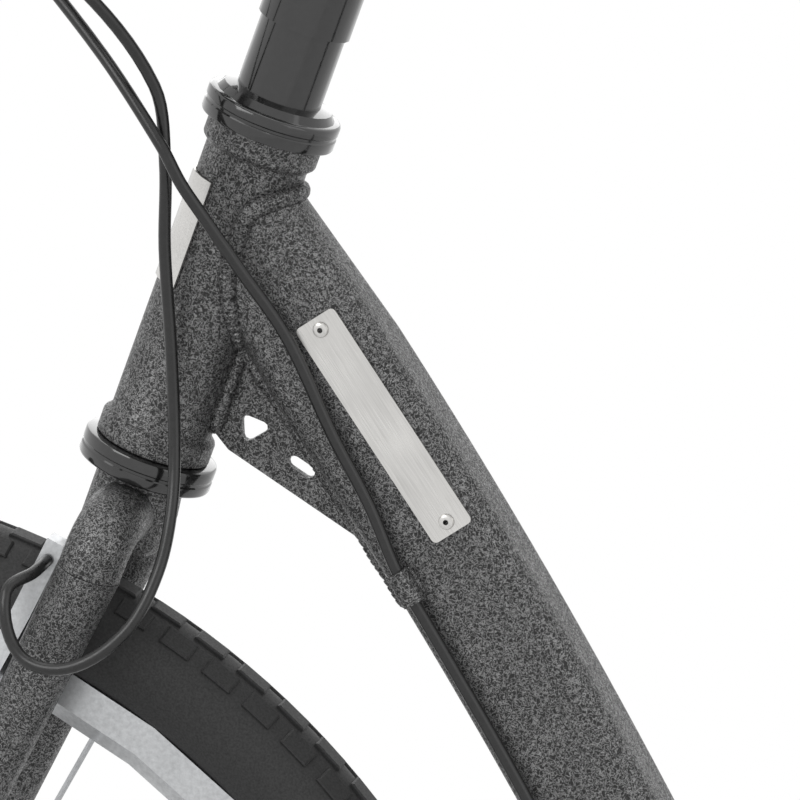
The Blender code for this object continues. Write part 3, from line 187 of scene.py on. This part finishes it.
def millimetres(nodes, links, scale=(1.0, 1.0, 1.0), turn=(0.0, 0.0, 0.0)):
    """Object coordinates in millimetres, turned first and then stretched."""
    coords = nodes.new("ShaderNodeTexCoord")
    turned = nodes.new("ShaderNodeMapping")
    turned.inputs["Rotation"].default_value = turn
    scaled = nodes.new("ShaderNodeMapping")
    scaled.inputs["Scale"].default_value = [1000.0 * v for v in scale]
    links.new(coords.outputs["Object"], turned.inputs["Vector"])
    links.new(turned.outputs["Vector"], scaled.inputs["Vector"])
    return scaled.outputs["Vector"]


def noise(nodes, links, vector, scale, detail=2.0, rough=0.5, twist=0.0):
    tex = nodes.new("ShaderNodeTexNoise")
    tex.inputs["Scale"].default_value = scale
    tex.inputs["Detail"].default_value = detail
    tex.inputs["Roughness"].default_value = rough
    tex.inputs["Distortion"].default_value = twist
    links.new(vector, tex.inputs["Vector"])
    return tex.outputs["Fac"]


def math_node(nodes, links, kind, a, b=0.0):
    node = nodes.new("ShaderNodeMath")
    node.operation = kind
    for socket, value in zip(node.inputs, (a, b)):
        if isinstance(value, float):
            socket.default_value = value
        else:
            links.new(value, socket)
    return node.outputs[0]


def ramp(nodes, links, fac, stops):
    node = nodes.new("ShaderNodeValToRGB")
    band = node.color_ramp
    while len(band.elements) < len(stops):
        band.elements.new(0.5)
    for element, (place, level) in zip(band.elements, stops):
        element.position = place
        colour = level if isinstance(level, tuple) else (level, level, level)
        element.color = (*colour, 1.0)
    links.new(fac, node.inputs["Fac"])
    return node.outputs["Color"]


def bump(nodes, links, bsdf, height, strength, depth_mm):
    node = nodes.new("ShaderNodeBump")
    node.inputs["Strength"].default_value = strength
    node.inputs["Distance"].default_value = depth_mm * MM
    links.new(height, node.inputs["Height"])
    links.new(node.outputs["Normal"], bsdf.inputs["Normal"])


def vein_coat():
    """Powder coat with fine pale worm-like veins over dark grey."""
    mat, nodes, links, bsdf = new_material("silver_vein_coat")
    space = millimetres(nodes, links)
    grain = noise(nodes, links, space, 0.75, 1.5, 0.5, 0.8)
    ridge = math_node(nodes, links, "ABSOLUTE", math_node(nodes, links, "SUBTRACT", grain, 0.5))
    ridge = math_node(nodes, links, "MULTIPLY", ridge, 7.0)
    patches = noise(nodes, links, space, 0.09, 2.0)
    mixed = math_node(nodes, links, "ADD", ridge, math_node(nodes, links, "MULTIPLY", patches, 0.10))
    tone = ramp(nodes, links, mixed, (
        (0.0, 0.34), (0.22, 0.20), (0.48, 0.055), (1.0, 0.018),
    ))
    links.new(tone, bsdf.inputs["Base Color"])
    links.new(ramp(nodes, links, mixed, ((0.1, 0.34), (0.7, 0.5))), bsdf.inputs["Roughness"])
    bsdf.inputs["Metallic"].default_value = 0.35
    bump(nodes, links, bsdf, math_node(nodes, links, "SUBTRACT", 1.0, mixed), 0.35, 0.16)
    return mat


def glossy_black():
    mat, nodes, links, bsdf = new_material("black_gloss")
    space = millimetres(nodes, links)
    peel = noise(nodes, links, space, 0.35, 2.0)
    links.new(ramp(nodes, links, peel, ((0.3, 0.011), (0.7, 0.018))), bsdf.inputs["Base Color"])
    links.new(ramp(nodes, links, peel, ((0.3, 0.10), (0.7, 0.17))), bsdf.inputs["Roughness"])
    bsdf.inputs["Coat Weight"].default_value = 0.6
    bsdf.inputs["Coat Roughness"].default_value = 0.06
    bump(nodes, links, bsdf, peel, 0.05, 0.05)
    return mat


def satin_black():
    mat, nodes, links, bsdf = new_material("black_satin")
    space = millimetres(nodes, links)
    grain = noise(nodes, links, space, 1.6, 3.0)
    links.new(ramp(nodes, links, grain, ((0.3, 0.018), (0.7, 0.034))), bsdf.inputs["Base Color"])
    links.new(ramp(nodes, links, grain, ((0.3, 0.38), (0.7, 0.52))), bsdf.inputs["Roughness"])
    bump(nodes, links, bsdf, grain, 0.2, 0.05)
    return mat


def metal(name, colour, rough, stretch, turn=(0.0, 0.0, 0.0), depth=0.02):
    """Bare metal with brush lines along the axis whose stretch is smallest."""
    mat, nodes, links, bsdf = new_material(name)
    lines = noise(nodes, links, millimetres(nodes, links, stretch, turn), 1.0, 4.0, 0.65)
    stains = noise(nodes, links, millimetres(nodes, links), 0.05, 3.0)
    fac = math_node(nodes, links, "ADD", math_node(nodes, links, "MULTIPLY", lines, 0.7),
                    math_node(nodes, links, "MULTIPLY", stains, 0.3))
    dark = tuple(0.72 * c for c in colour)
    links.new(ramp(nodes, links, fac, ((0.32, dark), (0.66, colour))), bsdf.inputs["Base Color"])
    links.new(ramp(nodes, links, fac, ((0.3, rough + 0.1), (0.7, rough))), bsdf.inputs["Roughness"])
    bsdf.inputs["Metallic"].default_value = 1.0
    bump(nodes, links, bsdf, lines, 0.3, depth)
    return mat


def rubber(name, level, grain_scale, depth, bands=None):
    """Rubber with a fine skin, and with moulded rings along Y where bands gives their pitch."""
    mat, nodes, links, bsdf = new_material(name)
    space = millimetres(nodes, links)
    skin = noise(nodes, links, space, grain_scale, 3.0)
    tone = ramp(nodes, links, skin, ((0.3, level * 0.75), (0.7, level * 1.3)))
    links.new(tone, bsdf.inputs["Base Color"])
    links.new(ramp(nodes, links, skin, ((0.3, 0.72), (0.7, 0.58))), bsdf.inputs["Roughness"])
    height = skin
    if bands:
        wave = nodes.new("ShaderNodeTexWave")
        wave.bands_direction = "Y"
        wave.inputs["Scale"].default_value = 0.314 / bands
        links.new(space, wave.inputs["Vector"])
        fine = math_node(nodes, links, "MULTIPLY", skin, 0.15)
        height = math_node(nodes, links, "ADD", fine, wave.outputs["Fac"])
    bump(nodes, links, bsdf, height, 0.6, depth)
    return mat


def grit_tape():
    mat, nodes, links, bsdf = new_material("grip_rubber")
    grit = noise(nodes, links, millimetres(nodes, links), 1.4, 4.0, 0.8)
    tone = ramp(nodes, links, grit, ((0.35, 0.012), (0.6, 0.03), (0.72, 0.11)))
    links.new(tone, bsdf.inputs["Base Color"])
    bsdf.inputs["Roughness"].default_value = 0.92
    bump(nodes, links, bsdf, grit, 0.9, 0.4)
    return mat


def cable_skin():
    mat, nodes, links, bsdf = new_material("cable_housing")
    skin = noise(nodes, links, millimetres(nodes, links), 0.5, 3.0)
    links.new(ramp(nodes, links, skin, ((0.3, 0.010), (0.7, 0.017))), bsdf.inputs["Base Color"])
    links.new(ramp(nodes, links, skin, ((0.3, 0.24), (0.7, 0.36))), bsdf.inputs["Roughness"])
    bump(nodes, links, bsdf, skin, 0.15, 0.04)
    return mat


LOOKS = {
    "coat": vein_coat(),
    "gloss": glossy_black(),
    "satin": satin_black(),
    "plate": metal("brushed_steel", (0.70, 0.69, 0.67), 0.24, (0.04, 2.6, 2.6), (0.0, -PLATE_TURN, 0.0)),
    "alloy": metal("alloy", (0.60, 0.61, 0.62), 0.30, (0.5, 0.08, 0.5)),
    "zinc": metal("steel_zinc", (0.50, 0.51, 0.53), 0.34, (0.8, 0.2, 0.8)),
    "tyre": rubber("tyre_rubber", 0.020, 1.1, 0.12),
    "grip": rubber("grip_rubber_ribbed", 0.018, 1.3, 0.7, 5.0),
    "tape": grit_tape(),
    "housing": cable_skin(),
}
NODE_LOOKS = (
    ("coat", ("head_tube", "main_tube", "gusset", "deck_frame", "fork_", "rear_stay", "cable_guide",
              "stand_legs")),
    ("plate", ("name_plate", "plate_rivet", "head_badge")),
    ("tape", ("deck_grip",)),
    ("grip", ("grip_",)),
    ("tyre", ("front_tyre", "rear_tyre", "stand_foot", "front_brake_pad", "rear_brake_pad")),
    ("housing", ("front_brake_cable", "rear_brake_cable")),
    ("alloy", ("front_rim", "rear_rim", "front_hub", "rear_hub", "front_brake_arm", "rear_brake_arm",
               "brake_lever")),
    ("zinc", ("front_axle", "rear_axle", "lever_pin", "crown_race", "front_bearing", "rear_bearing",
              "upper_headset_bearing", "lower_headset_bearing")),
    ("satin", ("footboard", "lever_mount", "stem_face")),
)


def dress_nodes():
    """Every CAD solid gets its procedural material, and its round faces shade smoothly."""
    for name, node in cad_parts.items():
        look = next((k for k, starts in NODE_LOOKS if name.startswith(starts)), "gloss")
        node.data.materials.clear()
        node.data.materials.append(LOOKS[look])
        shade(node.data, NODE_SMOOTH)
        node.modifiers.new("weld", "WELD").merge_threshold = NODE_MERGE
        node.modifiers.new("split", "EDGE_SPLIT").split_angle = math.radians(NODE_SMOOTH)


def shade(mesh, angle):
    if "custom_normal" in mesh.attributes:
        mesh.attributes.remove(mesh.attributes["custom_normal"])
    mesh.polygons.foreach_set("use_smooth", [True] * len(mesh.polygons))
    mesh.set_sharp_from_angle(angle=math.radians(angle))


def piece(name, points, faces, look, body=None, replaced=(), angle=40.0):
    """A mesh from points in millimetres that rides on a body, with the named solids hidden in its place."""
    mesh = bpy.data.meshes.new(name)
    mesh.from_pydata([p * MM for p in points], [], faces)
    mesh.validate()
    mesh.materials.append(LOOKS[look])
    shade(mesh, angle)
    obj = bpy.data.objects.new(name, mesh)
    bpy.context.scene.collection.objects.link(obj)
    if replaced:
        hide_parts(*replaced)
    if body:
        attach(obj, body)
    return obj


def skin_rings(rings, loop=False):
    """Faces that join rings of equal count, with flat ends where they don't close on themselves."""
    count, total = len(rings[0]), len(rings)
    points = [p for ring in rings for p in ring]
    faces = []
    for i in range(total if loop else total - 1):
        j = (i + 1) % total
        for k in range(count):
            n = (k + 1) % count
            faces.append((i * count + k, i * count + n, j * count + n, j * count + k))
    if not loop:
        faces.append(tuple(range(count))[::-1])
        faces.append(tuple((total - 1) * count + k for k in range(count)))
    return points, faces


def spin(profile, start, axis, count):
    """A closed profile of (radius, height) turned round an axis."""
    axis = axis.normalized()
    across = axis.orthogonal().normalized()
    other = axis.cross(across)
    rings = []
    for i in range(count):
        a = 2 * math.pi * i / count
        out = across * math.cos(a) + other * math.sin(a)
        rings.append([start + axis * h + out * r for r, h in profile])
    return skin_rings(rings, loop=True)


def even_path(points, step, loop=False):
    """The same path with points at even spacing."""
    points = list(points) + ([points[0]] if loop else [])
    lengths = [0.0]
    for a, b in zip(points, points[1:]):
        lengths.append(lengths[-1] + (b - a).length)
    count = max(2, round(lengths[-1] / step))
    out, k = [], 0
    for i in range(count if loop else count + 1):
        want = lengths[-1] * i / count
        while k < len(points) - 2 and lengths[k + 1] < want:
            k += 1
        share = (want - lengths[k]) / max(1e-9, lengths[k + 1] - lengths[k])
        out.append(points[k].lerp(points[k + 1], share))
    return out


def tube_along(path, radii, sides, loop=False):
    """A round skin along a path, each point with its own radius."""
    total = len(path)
    rings, across = [], None
    for i, p in enumerate(path):
        before = path[i - 1] if i or loop else p
        after = path[(i + 1) % total] if i < total - 1 or loop else p
        ahead = (after - before).normalized()
        across = ahead.orthogonal() if across is None else across - ahead * across.dot(ahead)
        across.normalize()
        other = ahead.cross(across)
        turns = [2 * math.pi * k / sides for k in range(sides)]
        rings.append([p + (across * math.cos(a) + other * math.sin(a)) * radii[i] for a in turns])
    if loop:
        last = rings[-1]
        shift = min(range(sides), key=lambda k: (last[k] - rings[0][0]).length)
        rings[-1] = last[shift:] + last[:shift]
    return skin_rings(rings, loop)


def weld(name, path, radius, loop=False, pitch=BEAD_PITCH):
    """A weld bead: overlapping ripples along a path, a little uneven."""
    path = even_path(path, BEAD_STEP, loop)
    radii = []
    for i in range(len(path)):
        ripple = (i * BEAD_STEP / pitch) % 1.0
        wander = 0.05 * math.sin(i * 0.071) + 0.04 * math.sin(i * 0.193)
        radii.append(radius * (0.78 + 0.24 * math.sqrt(max(0.0, 1.0 - ripple * ripple)) + wander))
    if not loop:
        for i in range(6):
            radii[i] *= 0.35 + 0.11 * i
            radii[-1 - i] *= 0.35 + 0.11 * i
    points, faces = tube_along(path, radii, BEAD_SIDES, loop)
    return piece(name, points, faces, "coat", "frame", angle=50.0)


def tube_center(s):
    angle = TUBE_SLOPE + s / TUBE_BEND_R
    x = TUBE_BEND_R * (math.sin(angle) - math.sin(TUBE_SLOPE))
    z = TUBE_BEND_R * (math.cos(angle) - math.cos(TUBE_SLOPE))
    point = HEAD_BOTTOM + Vector((TUBE_START[0] + x, 0.0, TUBE_START[1] + z))
    return point, Vector((math.cos(angle), 0.0, -math.sin(angle)))


def tube_depth(s):
    return TUBE_DEPTHS[0] + (TUBE_DEPTHS[1] - TUBE_DEPTHS[0]) * min(1.0, s / TUBE_LEN)


def tube_outline(s, per_corner=9, round_r=TUBE_ROUND, flat_parts=4):
    """The tube's section, with more points on the flats, so that the mitre follows the head tube."""
    point, ahead = tube_center(s)
    up = ahead.cross(SIDE)
    half_w, half_d = TUBE_W / 2 - round_r, tube_depth(s) / 2 - round_r
    ring = []
    for corner, (sy, sv) in enumerate(((1, 1), (-1, 1), (-1, -1), (1, -1))):
        for k in range(per_corner):
            a = math.pi / 2 * (corner + k / (per_corner - 1))
            y = sy * half_w + round_r * math.cos(a)
            v = sv * half_d + round_r * math.sin(a)
            ring.append(point + SIDE * y + up * v)
    full = []
    for i, p in enumerate(ring):
        parts = flat_parts if i % per_corner == per_corner - 1 else 1
        after = ring[(i + 1) % len(ring)]
        full += [p.lerp(after, k / parts) for k in range(parts)]
    return full


def build_main_tube():
    """The curved, tapered main tube, mitred round the head tube, with its weld beads."""
    ahead = tube_center(0.0)[1]
    reach = ahead.dot(HEAD_BACK)
    mitre = []
    for p in tube_outline(0.0, round_r=HEAD_END_ROUND):
        rel = p - HEAD_BOTTOM
        edge = math.sqrt((HEAD_R + SEAT) ** 2 - rel.y ** 2)
        mitre.append(p + ahead * ((edge - rel.dot(HEAD_BACK)) / reach))
    rings, s = [mitre], FIRST_RING_S
    while True:
        ring = tube_outline(s)
        if min(p.z for p in ring) < TUBE_FOOT_Z + FOOT_MARGIN:
            break
        rings.append(ring)
        s += RING_STEP
    ahead = tube_center(s)[1]
    foot = [p + ahead * ((TUBE_FOOT_Z - p.z) / ahead.z) for p in rings[-1]]
    rings.append(foot)
    points, faces = skin_rings(rings)
    piece("main_tube_skin", points, faces, "coat", "frame", ("main_tube",), angle=50.0)
    weld("weld_head_seam", mitre, HEAD_SEAM_R, loop=True)
    weld("weld_deck_seam", foot, DECK_SEAM_R, loop=True)


def build_head_tube():
    profile = [
        (18.5, 0.0), (23.0, 0.0), (23.5, 0.5), (23.5, 8.0), (23.2, 8.8), (22.2, 9.8), (21.4, 10.4),
        (21.0, 11.2),
        (21.0, HEAD_LEN - 11.2), (21.4, HEAD_LEN - 10.4), (22.2, HEAD_LEN - 9.8), (23.2, HEAD_LEN - 8.8),
        (23.5, HEAD_LEN - 8.0), (23.5, HEAD_LEN - 0.5), (23.0, HEAD_LEN), (18.5, HEAD_LEN),
    ]
    points, faces = spin(profile, HEAD_BOTTOM, HEAD_UP, ROUND_COUNT)
    piece("head_tube_skin", points, faces, "coat", "frame", ("head_tube",))
    for name, start, axis in (
        ("lower", HEAD_BOTTOM - HEAD_UP * SEAT, -HEAD_UP),
        ("upper", HEAD_BOTTOM + HEAD_UP * (HEAD_LEN + SEAT), HEAD_UP),
    ):
        points, faces = spin(CUP_PROFILE, start, axis, ROUND_COUNT)
        piece(f"{name}_cup_ring", points, faces, "gloss", "frame", (f"{name}_headset_cup",))


def build_gusset_welds():
    """Beads along both faces of the gusset, where it meets the head tube and the main tube."""
    for name, y in (("left", -GUSSET_BEAD_Y), ("right", GUSSET_BEAD_Y)):
        foot = HEAD_BOTTOM + HEAD_BACK * GUSSET_HEAD_REACH + SIDE * y
        head = [foot + HEAD_UP * t for t in GUSSET_HEAD_STOPS]
        weld(f"weld_gusset_head_{name}", head, GUSSET_BEAD_R)
        under = []
        for i in range(GUSSET_BEAD_PARTS + 1):
            s = GUSSET_S[0] + (GUSSET_S[1] - GUSSET_S[0]) * i / GUSSET_BEAD_PARTS
            point, ahead = tube_center(s)
            under.append(point - ahead.cross(SIDE) * (tube_depth(s) / 2 + GUSSET_BEAD_OUT) + SIDE * y)
        weld(f"weld_gusset_tube_{name}", under, GUSSET_BEAD_R)


def build_guide_welds():
    """Two short beads at each cable guide on the main tube."""
    for number, s in enumerate(GUIDES_S):
        point, ahead = tube_center(s)
        up = ahead.cross(SIDE)
        for name, rise in (("low", -GUIDE_BEAD_RISE), ("high", GUIDE_BEAD_RISE)):
            spot = point - up * (GUIDE_DROP - rise) - SIDE * (TUBE_W / 2 + 0.5)
            line = [spot + ahead * (GUIDE_BEAD_HALF * k) for k in (-1, 0, 1)]
            weld(f"weld_guide_{number + 1}_{name}", line, GUIDE_BEAD_R, pitch=GUIDE_BEAD_PITCH)


def smooth_route(anchors, steps):
    """The same smooth path through anchors as the solids follow, with more steps."""
    points, last = [], len(anchors) - 1
    for i in range(last):
        a, b = anchors[i], anchors[i + 1]
        before = anchors[i - 1] if i else a - (b - a)
        after = anchors[i + 2] if i + 2 <= last else b + (b - a)
        span = (b - a).length
        ta = (b - before).normalized() * span
        tb = (after - a).normalized() * span
        for k in range(steps):
            t = k / steps
            points.append(
                a * (2 * t**3 - 3 * t**2 + 1) + ta * (t**3 - 2 * t**2 + t)
                + b * (3 * t**2 - 2 * t**3) + tb * (t**3 - t**2)
            )
    return points + [anchors[-1].copy()]


def build_cable(name, route, body=None):
    path = smooth_route([Vector(p) for p in route], CABLE_STEPS)
    points, faces = tube_along(path, [CABLE_R] * len(path), CABLE_SIDES)
    return piece(f"{name}_housing", points, faces, "housing", body, (name,))


def build_cables():
    """The front housing turns with the fork; the rear one is baked in place on no body."""
    build_cable("front_brake_cable", FRONT_ROUTE, "fork")
    rear = build_cable("rear_brake_cable", REAR_ROUTE)
    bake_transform(rear)


def build_tyre(name, axle, outer_r, body, knobs):
    """A round casing with staggered rows of shallow tread blocks, whose tops reach the tyre's radius."""
    middle = outer_r - TYRE_HALF

    def spot(turn, lean, r):
        out = Vector((math.cos(turn), 0.0, math.sin(turn)))
        return axle + out * (middle + r * math.cos(lean)) + SIDE * (r * math.sin(lean))

    rings = []
    for i in range(TYRE_STEPS):
        turn = 2 * math.pi * i / TYRE_STEPS
        rings.append([spot(turn, 2 * math.pi * k / TYRE_SIDES, TYRE_MINOR) for k in range(TYRE_SIDES)])
    points, faces = skin_rings(rings, loop=True)
    pitch = 2 * math.pi / knobs
    for row, (lean, wide) in enumerate(TREAD_ROWS):
        for i in range(knobs):
            turn = pitch * (i + (0.5 if row == 1 else 0.0))
            start = len(points)
            for r, share in BLOCK_LEVELS:
                for da, dl in ((-1, -1), (1, -1), (1, 1), (-1, 1)):
                    points.append(spot(turn + da * BLOCK_HALF * pitch * share, lean + dl * wide * share, r))
            for level in (0, 4):
                for k in range(4):
                    n, low = (k + 1) % 4, start + level
                    faces.append((low + k, low + n, low + 4 + n, low + 4 + k))
            faces.append(tuple(start + 8 + k for k in range(4)))
            faces.append(tuple(start + k for k in (3, 2, 1, 0)))
    piece(f"{name}_tread", points, faces, "tyre", body, (name,), angle=28.0)


def pale_material(name, colour, share):
    """A pale surface that looks near white to the camera and in reflections, and still takes a shadow."""
    mat = bpy.data.materials.new(name)
    mat.use_nodes = True
    nodes, links = mat.node_tree.nodes, mat.node_tree.links
    nodes.clear()
    out = nodes.new("ShaderNodeOutputMaterial")
    diffuse = nodes.new("ShaderNodeBsdfDiffuse")
    diffuse.inputs["Color"].default_value = (*colour, 1.0)
    glow = nodes.new("ShaderNodeEmission")
    mix = nodes.new("ShaderNodeMixShader")
    seen = seen_rays(nodes, links)
    links.new(math_node(nodes, links, "MULTIPLY", seen, share), mix.inputs["Fac"])
    links.new(diffuse.outputs[0], mix.inputs[1])
    links.new(glow.outputs[0], mix.inputs[2])
    links.new(mix.outputs[0], out.inputs["Surface"])
    return mat


def seen_rays(nodes, links):
    path = nodes.new("ShaderNodeLightPath")
    first = math_node(nodes, links, "MAXIMUM", path.outputs["Is Camera Ray"], path.outputs["Is Glossy Ray"])
    return math_node(nodes, links, "MAXIMUM", first, path.outputs["Is Transmission Ray"])


def build_stage():
    """A pale round floor, a white surround and soft studio lamps."""
    mesh = bpy.data.meshes.new("floor")
    turns = [2 * math.pi * k / FLOOR_SIDES for k in range(FLOOR_SIDES)]
    rim = [Vector((FLOOR_R * math.cos(a), FLOOR_R * math.sin(a), 0.0)) for a in turns]
    mesh.from_pydata(rim, [], [tuple(range(FLOOR_SIDES))])
    mesh.materials.append(pale_material("floor_white", FLOOR_COLOUR, FLOOR_GLOW))
    floor = bpy.data.objects.new("floor", mesh)
    bpy.context.scene.collection.objects.link(floor)

    world = bpy.data.worlds.new("studio")
    world.use_nodes = True
    bpy.context.scene.world = world
    nodes, links = world.node_tree.nodes, world.node_tree.links
    back = nodes["Background"]
    back.inputs["Color"].default_value = (1.0, 1.0, 1.0, 1.0)
    seen = seen_rays(nodes, links)
    share = math_node(nodes, links, "MULTIPLY", seen, 1.0 - WORLD_LIGHT)
    links.new(math_node(nodes, links, "ADD", share, WORLD_LIGHT), back.inputs["Strength"])

    for name, place, size, power in LAMPS:
        data = bpy.data.lights.new(name, "AREA")
        data.size = size
        data.energy = power
        lamp = bpy.data.objects.new(name, data)
        lamp.location = place
        lamp.rotation_euler = (LAMP_AIM - Vector(place)).to_track_quat("-Z", "Y").to_euler()
        bpy.context.scene.collection.objects.link(lamp)


bpy.context.scene.view_settings.view_transform = "Standard"
set_camera()
dress_nodes()
build_main_tube()
build_head_tube()
build_gusset_welds()
build_guide_welds()
build_cables()
build_tyre("front_tyre", FRONT_AXLE, 330.0, "front_wheel", 96)
build_tyre("rear_tyre", REAR_AXLE, 248.0, "rear_wheel", 72)
build_stage()
